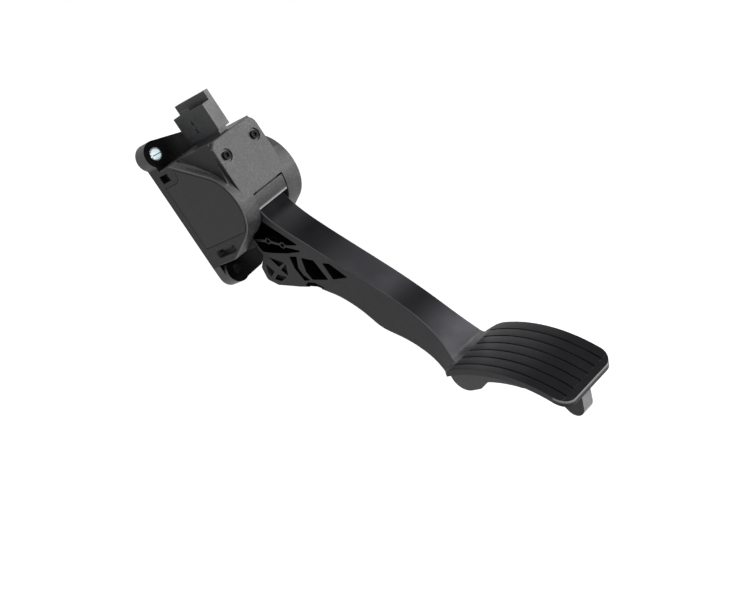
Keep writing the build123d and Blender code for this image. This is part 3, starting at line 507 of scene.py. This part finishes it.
# Painted shade: the faces that look sideways are a darker, duller grey.
flank_painted_shade = moulded("flank_painted_shade", grey(0.006), grey(0.012, 0.001), 0.40, 0.50, shine=0.20)
paint_faces(housing, base_side, on_base_side)
paint_faces(housing, base_painted_shade, on_base)
paint_faces(housing, rim_painted_highlight, on_rim)
paint_faces(housing, flank_painted_shade, on_flank)

# %% [markdown]
# ## Side cover, cap and sensor carrier
# The flush side cover and the cap on the other side are a flatter grey, and the bevel round them is
# black, so that it shows as the seam. The carrier with its plug socket is a finer plastic than the
# housing, with paler edges.

# %% Side cover, cap and sensor carrier
cover_grey = moulded("cover_grey", grey(0.010), grey(0.014), 0.50, 0.56, speck=0.1, shine=0.26)
cover_seam = moulded("cover_seam", grey(0.001), grey(0.002), 0.6, 0.7, speck=0.0, shine=0.02)
cover = softened_copy("side_cover", "side_cover_panel", "housing_unit", 0.0004)
finish(cover, cover_grey, cover_seam)
carrier = softened_copy("sensor_carrier", "sensor_carrier_moulding", "housing_unit", 0.0003)
finish(
    carrier,
    moulded("carrier_black", grey(0.010, 0.001), grey(0.016, 0.001), 0.40, 0.48, speck=0.3),
    moulded("carrier_edge", grey(0.016, 0.001), grey(0.024, 0.001), 0.34, 0.40, shine=0.45),
)
cap = softened_copy("end_cap", "end_cap_disc", "housing_unit", 0.0003)
finish(cap, cover_grey, cover_seam)

# %% [markdown]
# ## Pedal lever
# The lever carries the foot: a hub, a curved arm with open windows and the pad. It gets more looks
# than any other piece, and each is again given to whole faces. To choose them, a point is measured
# down the arm and to the rear of it, since the arm leans.

# %% Pedal lever
lever_black = moulded(
    "lever_black", grey(0.008, 0.001), grey(0.016, 0.002), 0.36, 0.54, speck=0.12, shine=0.22
)
lever_edge = moulded("lever_edge", grey(0.014, 0.001), grey(0.022, 0.001), 0.30, 0.38, shine=0.5)
lever = softened_copy("pedal_lever", "pedal_lever_moulding", "pedal", 0.0004)
finish(lever, lever_black, lever_edge)

PIVOT = Vector((0.0, -0.03815, 0.0))
ARM_LEAN = radians(36)
ALONG_ARM = Vector((0.0, -sin(ARM_LEAN), -cos(ARM_LEAN)))
ACROSS_ARM = Vector((0.0, cos(ARM_LEAN), -sin(ARM_LEAN)))


def on_arm(place):
    """Distances of a point down the arm from the pivot and to the rear of it, in millimetres."""
    reach = 1000 * (place - PIVOT)
    return reach.dot(ALONG_ARM), reach.dot(ACROSS_ARM)


# %% [markdown]
# ## Windows and hollows of the arm
# Little light gets into the side windows, so their walls and the web behind them get painted shade,
# almost black.
# The crossed pockets of the heel are shallower and get a paler painted shade. The windows come first,
# because a face is painted only once.

# %% Windows and hollows of the arm
WINDOWS_START, WINDOWS_END = 22, 99  # down the arm, in millimetres
WINDOWS_FRONT = -4
CROSS_START, CROSS_END, CROSS_FRONT = 34, 56, 20
WEB_HALF = 0.004
CROSS_HALF = 0.0105
FLANGE_HALF = 0.0112


def in_window(place, normal):
    down, back = on_arm(place)
    if not WINDOWS_START < down < WINDOWS_END:
        return False
    on_web = abs(normal.x) > 0.9 and abs(place.x) < WEB_HALF
    within_rim = back > WINDOWS_FRONT and back + 0.75 * down < 79.5 and back - 0.99 * down < -5.5
    on_wall = abs(normal.x) < 0.3 and WEB_HALF < abs(place.x) < FLANGE_HALF
    return on_web or (within_rim and on_wall)


def in_heel_cross(place, normal):
    down, back = on_arm(place)
    in_heel = CROSS_START < down < CROSS_END and back > CROSS_FRONT
    return in_heel and abs(normal.x) > 0.9 and WEB_HALF < abs(place.x) < CROSS_HALF


# Painted shade: near black for the windows, the grooves, the neck's inner side and the heel recess.
pocket_painted_shade = moulded("pocket_painted_shade", grey(0.0006), grey(0.0015), 0.6, 0.75, speck=0.0, shine=0.01)
# Painted shade, a little paler, for the floors of the crossed pockets.
hollow_painted_shade = moulded("hollow_painted_shade", grey(0.003), grey(0.006), 0.5, 0.6, speck=0.05, shine=0.08)
paint_faces(lever, pocket_painted_shade, in_window)
paint_faces(lever, hollow_painted_shade, in_heel_cross)

# %% [markdown]
# ## Painted sheen, and the tab over the arm
# Some of the plastic gets painted sheen and painted highlights, paler where the light falls on it. A
# second function makes such a material: it is given a function that says how pale each place is
# painted, as a share. The tab that covers the slot above the arm gets a painted highlight along its
# lower lip.

# %% Painted sheen, and the tab over the arm
# Painted sheen and highlights: the colour goes from dark to pale by a share.
def painted_sheen(
    name, share_of, dark, pale, smooth, rough, bump, shine, speck=0.0,
    clouds=CLOUD_SCALE, flecks=SPECK_SCALE,
):
    """Plastic that goes from dark to pale by share_of(tree, place, surface)."""
    material, tree, shader, surface = new_material(name, skin)
    surface.inputs["Cloud Scale"].default_value = clouds
    surface.inputs["Speck Scale"].default_value = flecks
    place = tree.nodes.new("ShaderNodeTexCoord").outputs["Object"]
    if speck:
        glassy = between(tree, surface.outputs["Speck"], 0.0, speck)
        dark = mix_colour(tree, glassy, dark, grey(0.12, 0.005))
    colour = mix_colour(tree, share_of(tree, place, surface), dark, pale)
    tree.links.new(colour, shader.inputs["Base Color"])
    roughness = between(tree, surface.outputs["Cloud"], smooth, rough)
    tree.links.new(roughness, shader.inputs["Roughness"])
    add_relief(tree, shader, surface.outputs["Grain"], bump, GRAIN_DEPTH)
    shader.inputs["Specular IOR Level"].default_value = shine
    print(name, "rubbed plastic")
    return material


def coordinate(tree, place, axis):
    split = tree.nodes.new("ShaderNodeSeparateXYZ")
    tree.links.new(place, split.inputs["Vector"])
    return split.outputs[axis]


HUB_REACH = 0.0260
TAB_END = -0.0138
LIP_START, LIP_END = -0.0118, -0.0134


def on_tab(place, normal):
    beyond_hub = hypot(place.y - PIVOT.y, place.z) > HUB_REACH
    return beyond_hub and normal.y < -0.5 and place.y < PIVOT.y and place.z > TAB_END


def towards_lip(tree, place, surface):
    return span(tree, coordinate(tree, place, "Z"), LIP_START, LIP_END)


# Painted highlight: the tab is paler towards its lower lip.
tab_painted_highlight = painted_sheen(
    "tab_painted_highlight", towards_lip, grey(0.013, 0.001), grey(0.26, 0.005), 0.38, 0.48, bump=0.4, shine=0.36,
    speck=0.35, flecks=1500.0,
)
paint_faces(lever, tab_painted_highlight, on_tab)

# %% [markdown]
# ## Edges of the arm
# The two long edges of the arm's top are rounded in the CAD model. They get a painted highlight, so
# they show as fine lines that are a little paler than the faces on each side.

# %% Edges of the arm
ARM_EDGE_END = -0.17


def on_arm_edge(place, normal):
    turned_out = 0.3 < abs(normal.x) < 0.93
    return turned_out and normal.y < -0.2 and normal.z > 0.05 and place.z > ARM_EDGE_END


# Painted highlight: a paler grey along the arm's rounded edges.
arm_edge = moulded(
    "arm_edge_painted_highlight", grey(0.012, 0.001), grey(0.036, 0.002), 0.30, 0.42, shine=0.30, clouds=40.0
)
paint_faces(lever, arm_edge, on_arm_edge)

# %% [markdown]
# ## Grooves and rim of the pad
# The pad is part of a drum, so its faces are found by their distance from the drum's axis and their
# angle round it. The grooves get painted shade, black. The outer wall gets a painted highlight, a thin
# pale line near the top.

# %% Grooves and rim of the pad
PAD_AXIS = Vector((0.0, -0.1400, -0.2588))
PAD_RADIUS = 0.1067
TREAD_START, TREAD_END = 95.2, 140.8  # degrees round the axis
TREAD_HALF = 0.0212
RIM_START = 93
RIM_DEEP, RIM_HIGH = 0.0042, 0.0002
HIGHLIGHT_START, HIGHLIGHT_END = PAD_RADIUS - 0.0022, PAD_RADIUS - 0.0008


def around_pad(place):
    """Spoke from the axis of the pad's curve to a point, and its angle in degrees."""
    spoke = Vector((0.0, place.y - PAD_AXIS.y, place.z - PAD_AXIS.z))
    return spoke, degrees(atan2(spoke.z, spoke.y))


def in_groove(place, normal):
    spoke, turn = around_pad(place)
    below_lands = PAD_RADIUS - 0.0012 < spoke.length < PAD_RADIUS - 0.0001
    return abs(place.x) < TREAD_HALF and TREAD_START < turn < TREAD_END and below_lands


def on_pad_rim(place, normal):
    spoke, turn = around_pad(place)
    among_grooves = abs(place.x) < TREAD_HALF and TREAD_START - 1 < turn < TREAD_END + 1
    on_wall = PAD_RADIUS - RIM_DEEP < spoke.length < PAD_RADIUS + RIM_HIGH
    looks_out = abs(normal.dot(spoke.normalized())) < 0.6
    return on_wall and looks_out and turn > RIM_START and not among_grooves


def towards_top(tree, place, surface):
    across = tree.nodes.new("ShaderNodeVectorMath")
    across.operation = "MULTIPLY_ADD"
    across.inputs[1].default_value = (0.0, 1.0, 1.0)
    across.inputs[2].default_value = -PAD_AXIS
    tree.links.new(place, across.inputs[0])
    spoke = tree.nodes.new("ShaderNodeVectorMath")
    spoke.operation = "LENGTH"
    tree.links.new(across.outputs["Vector"], spoke.inputs[0])
    return span(tree, spoke.outputs["Value"], HIGHLIGHT_START, HIGHLIGHT_END)


# Painted highlight: a thin pale line near the top of the pad's outer wall.
pad_rim = painted_sheen(
    "pad_rim_painted_highlight", towards_top, grey(0.004), grey(0.16, 0.005), 0.30, 0.42, bump=0.2, shine=0.2
)
# Painted shade in the grooves.
paint_faces(lever, pocket_painted_shade, in_groove)
paint_faces(lever, pad_rim, on_pad_rim)

# %% [markdown]
# ## Fold and top of the arm
# The arm's top is satin, with a painted sheen: darker and paler stretches along its length, the
# palest before the fold where the arm becomes the pad. A Color Ramp along the arm gives the stretches,
# and the clouds of the skin break them up. The fold gets a paler painted sheen, and takes in its
# bevel too, so that no bright line is left across it.

# %% Fold and top of the arm
FOLD_START = 181  # down the arm, in millimetres
FOLD_TURN = 60
ARM_TOP_END = -0.158
ARM_START, ARM_END = 0.0524, 0.2124  # down the arm from the frame's origin
ARM_SHEEN_BANDS = ((0.04, 0.4), (0.17, 0.0), (0.45, 0.7), (0.56, 0.7), (0.70, 0.12), (0.92, 1.0))


def on_fold(place, normal):
    spoke, turn = around_pad(place)
    past_arm = on_arm(place)[0] > FOLD_START and FOLD_TURN < turn < TREAD_START
    return past_arm and normal.z > 0.3 and spoke.length > PAD_RADIUS - 0.001


def on_arm_top(place, normal):
    return normal.y < -0.5 and normal.z > 0.2 and place.z > ARM_TOP_END


def along_arm(tree, place, surface):
    down = tree.nodes.new("ShaderNodeVectorMath")
    down.operation = "DOT_PRODUCT"
    down.inputs[1].default_value = ALONG_ARM
    tree.links.new(place, down.inputs[0])
    bands = tree.nodes.new("ShaderNodeValToRGB")
    bands.color_ramp.interpolation = "EASE"
    for at, level in ARM_SHEEN_BANDS:
        stop = bands.color_ramp.elements.new(at)
        stop.color = (*grey(level), 1)
    tree.links.new(span(tree, down.outputs["Value"], ARM_START, ARM_END), bands.inputs["Fac"])
    broken = between(tree, surface.outputs["Cloud"], 0.0, 0.4)
    return mix_colour(tree, broken, bands.outputs["Color"], grey(0.2))


# Painted sheen: the fold is paler than the arm's top.
fold_painted_sheen = moulded(
    "fold_painted_sheen", grey(0.022, 0.001), grey(0.075, 0.003), 0.40, 0.50, shine=0.10, clouds=70.0
)
# Painted sheen: paler and darker stretches along the arm's top.
arm_top = painted_sheen(
    "arm_top_painted_sheen", along_arm, grey(0.0015, 0.0005), grey(0.048, 0.005), 0.34, 0.48,
    bump=0.25, shine=0.04, clouds=45.0,
)
paint_faces(lever, fold_painted_sheen, on_fold, slots=(0, 1))
paint_faces(lever, arm_top, on_arm_top)

# %% [markdown]
# ## Lobe, post and tread of the pad
# Under the pad are the rounded lobe behind the fold, whose sides get a paler painted light, and the
# post near the toe, whose front looks into the light and gets a pale painted highlight. The tread
# lands get a painted sheen, palest towards the fold, and on each land paler towards one edge. The
# remainder of the place across the pad, divided by the lands' spacing, gives that.

# %% Lobe, post and tread of the pad
LOBE_TOP, LOBE_FRONT, LOBE_HALF = -0.150, -0.176, 0.0140
POST_TOP, POST_HALF = -0.196, 0.0052
LAND_PITCH = 0.00805
SHEEN_START, SHEEN_END = -0.206, -0.150


def on_lobe(place, normal):
    behind_fold = place.z < LOBE_TOP and place.y > LOBE_FRONT
    return abs(normal.x) > 0.9 and behind_fold and abs(place.x) < LOBE_HALF


def on_post(place, normal):
    looks_forwards = normal.y < -0.4 and abs(normal.x) < 0.5
    return looks_forwards and place.z < POST_TOP and abs(place.x) < POST_HALF


def on_tread(place, normal):
    spoke, turn = around_pad(place)
    on_land = spoke.length > PAD_RADIUS - 0.0004 and turn > TREAD_START
    return on_land and normal.dot(spoke.normalized()) > 0.8


def calculate(tree, operation, *values):
    step = tree.nodes.new("ShaderNodeMath")
    step.operation = operation
    for socket, value in zip(step.inputs, values):
        if isinstance(value, float):
            socket.default_value = value
        else:
            tree.links.new(value, socket)
    return step.outputs["Value"]


def over_lands(tree, place, surface):
    towards_fold = span(tree, coordinate(tree, place, "Y"), SHEEN_START, SHEEN_END)
    from_groove = calculate(tree, "ADD", coordinate(tree, place, "X"), 6.5 * LAND_PITCH)
    over_land = calculate(tree, "FLOORED_MODULO", from_groove, LAND_PITCH)
    edge = calculate(tree, "MULTIPLY_ADD", span(tree, over_land, 0.0, LAND_PITCH), 0.7, 0.3)
    broken = between(tree, surface.outputs["Cloud"], 0.6, 1.0)
    return calculate(tree, "MULTIPLY", calculate(tree, "MULTIPLY", towards_fold, edge), broken)


# Painted light: the lobe's sides are a paler, glossier copy of the lever's plastic.
lobe_painted_light = moulded("lobe_painted_light", grey(0.010, 0.001), grey(0.020, 0.001), 0.36, 0.48, shine=0.42)
# Painted highlight: the post's front is a pale grey.
post_painted_highlight = moulded("post_painted_highlight", grey(0.06, 0.002), grey(0.12, 0.003), 0.28, 0.38, shine=0.6)
# Painted sheen: lands paler towards the fold and towards one edge.
tread_painted_sheen = painted_sheen(
    "tread_painted_sheen", over_lands, grey(0.004, 0.001), grey(0.055, 0.003), 0.34, 0.46, bump=0.25, shine=0.06
)
paint_faces(lever, lobe_painted_light, on_lobe)
paint_faces(lever, post_painted_highlight, on_post)
paint_faces(lever, tread_painted_sheen, on_tread)

# %% [markdown]
# ## Neck of the heel
# A small wall closes the heel's neck behind the hub. It starts as a cube that is turned to the neck's
# slope, and its upper end is drawn in towards the hub by an extrusion. The side that looks into
# the window gets the same painted shade as the window.

# %% Neck of the heel
NECK_HALF = 0.0123
NECK_WALL = 0.0024
NECK_DRAWN_IN = (0.0, -0.0030, 0.0022)


def arm_place(down, back):
    """Point in the middle plane, by its distance down the arm and to the rear of it."""
    return PIVOT + ALONG_ARM * down + ACROSS_ARM * back


def heel_piece(piece, name, width, look):
    bpy.ops.object.transform_apply(location=True, rotation=True, scale=True)
    piece.name = name
    piece.data.name = name
    bpy.ops.object.modifier_add(type="BEVEL")
    rim = piece.modifiers[-1]
    rim.width = width
    rim.segments = 2
    rim.limit_method = "ANGLE"
    bpy.ops.object.modifier_apply(modifier=rim.name)
    bpy.ops.object.shade_smooth_by_angle(angle=SMOOTH_ANGLE)
    piece.data.materials.append(look)
    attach(piece, "pedal")
    print(name, len(piece.data.polygons), "faces")


neck_foot = arm_place(0.0326, 0.0263)
neck_head = arm_place(0.0222, 0.0215)
bpy.ops.object.select_all(action="DESELECT")
bpy.ops.mesh.primitive_cube_add(
    size=1,
    location=(neck_foot + neck_head) / 2,
    rotation=(neck_head - neck_foot).to_track_quat("Z", "Y").to_euler(),
    scale=(2 * NECK_HALF, NECK_WALL, (neck_head - neck_foot).length),
)
neck = bpy.context.object
bpy.ops.object.transform_apply(location=True, rotation=True, scale=True)
bpy.ops.object.mode_set(mode="EDIT")
bpy.ops.mesh.select_mode(type="FACE")
bpy.ops.mesh.select_all(action="DESELECT")
bpy.ops.object.mode_set(mode="OBJECT")
for face in neck.data.polygons:
    face.select = face.normal.z > 0.9
bpy.ops.object.mode_set(mode="EDIT")
bpy.ops.mesh.extrude_region_move(TRANSFORM_OT_translate={"value": NECK_DRAWN_IN})
bpy.ops.object.mode_set(mode="OBJECT")
heel_piece(neck, "heel_neck_wall", 0.0003, lever_black)
# Painted shade on the side that looks into the window.
paint_faces(neck, pocket_painted_shade, lambda place, normal: normal.y < -0.5)

# %% [markdown]
# ## Recess of the heel
# Above the heel's lower edge lies a long recess, and its back is made here in two flat pieces, near
# black with painted shade. Each is cut out of a cube by one bisect for each side, which is how a flat
# shape with slanted sides is made without placing points by hand.

# %% Recess of the heel
RECESS_HALF = 0.0109
RECESS_CUBE = 0.04
RECESS_CORNERS = {
    "heel_recess_back": [(67.6, 31.0), (69.5, 24.9), (74.3, 21.4), (77.0, 20.9), (77.0, 24.1)],
    "heel_recess_end": [(76.0, 21.0), (83.6, 19.9), (84.0, 21.9), (76.4, 24.4)],
}


def flat_piece(name, corners, half, look):
    """Cuts a flat convex piece out of a cube, one bisect for each side."""
    points = [arm_place(down / 1000, back / 1000) for down, back in corners]
    middle = sum(points, Vector()) / len(points)
    bpy.ops.object.select_all(action="DESELECT")
    bpy.ops.mesh.primitive_cube_add(size=1, location=middle, scale=(2 * half, RECESS_CUBE, RECESS_CUBE))
    piece = bpy.context.object
    bpy.ops.object.transform_apply(location=True, rotation=True, scale=True)
    bpy.ops.object.mode_set(mode="EDIT")
    for start, end in zip(points, points[1:] + points[:1]):
        outwards = (end - start).cross(Vector((1.0, 0.0, 0.0)))
        if outwards.dot(start - middle) < 0:
            outwards.negate()
        bpy.ops.mesh.select_all(action="SELECT")
        bpy.ops.mesh.bisect(
            plane_co=start, plane_no=outwards, use_fill=True, clear_outer=True, threshold=1e-6
        )
    bpy.ops.object.mode_set(mode="OBJECT")
    heel_piece(piece, name, 0.0001, look)


# Painted shade: both pieces are near black.
for name, corners in RECESS_CORNERS.items():
    flat_piece(name, corners, RECESS_HALF, pocket_painted_shade)

# %% [markdown]
# ## Plated and bare metals
# Zinc plating is bright with a bluish cast and faint clouds, the screws have a black coat that
# hides their metal, and springs are oiled steel. A second group makes the clouds and fine scratches
# of a metal surface. They act on the colour and the roughness, and Metallic stays a plain 1.

# %% Plated and bare metals
SCRATCH_DEPTH = 0.00005
SCRATCH_BUMP = 0.1

plating, plating_in, plating_out = new_group(
    "metal_surface", {"Cloud Scale": 420.0, "Scratch Scale": 3200.0}, ("Cloud", "Scratch")
)
for layer, detail, low, high in (("Cloud", 3.0, 0.35, 0.65), ("Scratch", 2.0, 0.4, 0.7)):
    value = noise(plating, plating_in.outputs[layer + " Scale"], detail, low, high)
    plating.links.new(value, plating_out.inputs[layer])


def metal(name, dull, bright, smooth, rough):
    material, tree, shader, surface = new_material(name, plating)
    colour = mix_colour(tree, surface.outputs["Cloud"], dull, bright)
    tree.links.new(colour, shader.inputs["Base Color"])
    roughness = between(tree, surface.outputs["Scratch"], smooth, rough)
    tree.links.new(roughness, shader.inputs["Roughness"])
    add_relief(tree, shader, surface.outputs["Scratch"], SCRATCH_BUMP, SCRATCH_DEPTH)
    shader.inputs["Metallic"].default_value = 1.0
    print(name, "metal")
    return material


zinc = metal("sleeve_zinc", (0.62, 0.76, 0.82), (0.86, 0.93, 0.95), 0.22, 0.34)
spring_steel = metal("spring_steel", grey(0.20, 0.01), grey(0.32, 0.01), 0.25, 0.4)
ground_steel = metal("shaft_steel", grey(0.50, 0.01), grey(0.62, 0.01), 0.18, 0.28)
tin = metal("terminal_tin", (0.60, 0.59, 0.56), (0.75, 0.74, 0.71), 0.22, 0.34)
bronze = metal("wiper_bronze", (0.58, 0.36, 0.16), (0.70, 0.46, 0.22), 0.22, 0.36)
black_coat = moulded(
    "screw_black", grey(0.001), grey(0.004, 0.0005), 0.24, 0.34, speck=0.02, shine=0.03
)

# %% [markdown]
# ## Sleeves and screws
# The two rolled sleeves and the two screws are softened like the mouldings, with finer bevels, since
# turned and rolled metal has crisper edges than plastic.

# %% Sleeves and screws
for side in ("top", "right"):
    node = "lug_sleeve_" + side
    sleeve = softened_copy(node, node + "_rolled", "housing_unit", 0.00018)
    finish(sleeve, zinc, zinc)
screws = softened_copy("carrier_screws", "carrier_screws_turned", "housing_unit", 0.00022)
finish(screws, black_coat, black_coat)

# %% [markdown]
# ## Return springs
# Each return spring has one leg in the housing's wall and the other in the arbor, which turns with
# the pedal. A piece that rode on one body would drag a leg through the wall, so the softened copy
# rides on neither body and stays where the CAD model puts it.

# %% Return springs
for size in ("outer", "inner"):
    node = "return_spring_" + size
    spring = softened_copy(node, node + "_wound", None, 0.0001)
    finish(spring, spring_steel, spring_steel)
    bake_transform(spring)

# %% [markdown]
# ## What is inside
# The pieces in the housing hardly show, but each has its own finish, so that the part still looks
# right when it is opened. They stay as the CAD model gives them, and only their materials change.

# %% What is inside
rubber = moulded("stop_rubber", grey(0.010), grey(0.016), 0.7, 0.85, shine=0.25)
cream = moulded("bush_cream", (0.42, 0.38, 0.28), (0.50, 0.46, 0.35), 0.4, 0.5)
white = moulded("washer_white", (0.60, 0.60, 0.57), (0.68, 0.68, 0.65), 0.35, 0.45)
inside = {
    "sensor_board": moulded(
        "board_green", (0.01, 0.06, 0.03), (0.015, 0.08, 0.04), 0.3, 0.4, glass=(0.2, 0.3, 0.15)
    ),
    "friction_shoe": moulded("shoe_brown", (0.06, 0.035, 0.02), (0.09, 0.055, 0.03), 0.55, 0.7),
    "spring_arbor": moulded("arbor_grey", grey(0.10, 0.005), grey(0.13, 0.005), 0.4, 0.5),
    "idle_stop": rubber,
    "travel_stop": rubber,
    "bush_left": cream,
    "bush_right": cream,
    "thrust_washer_left": white,
    "thrust_washer_right": white,
    "connector_terminals": tin,
    "sensor_wiper": bronze,
    "pivot_shaft": ground_steel,
    "shaft_clip": spring_steel,
    "shoe_spring": spring_steel,
    "return_spring_outer": spring_steel,
    "return_spring_inner": spring_steel,
}
for node, material in inside.items():
    nodes[node].data.materials.clear()
    nodes[node].data.materials.append(material)
print(len(inside), "inner pieces finished")
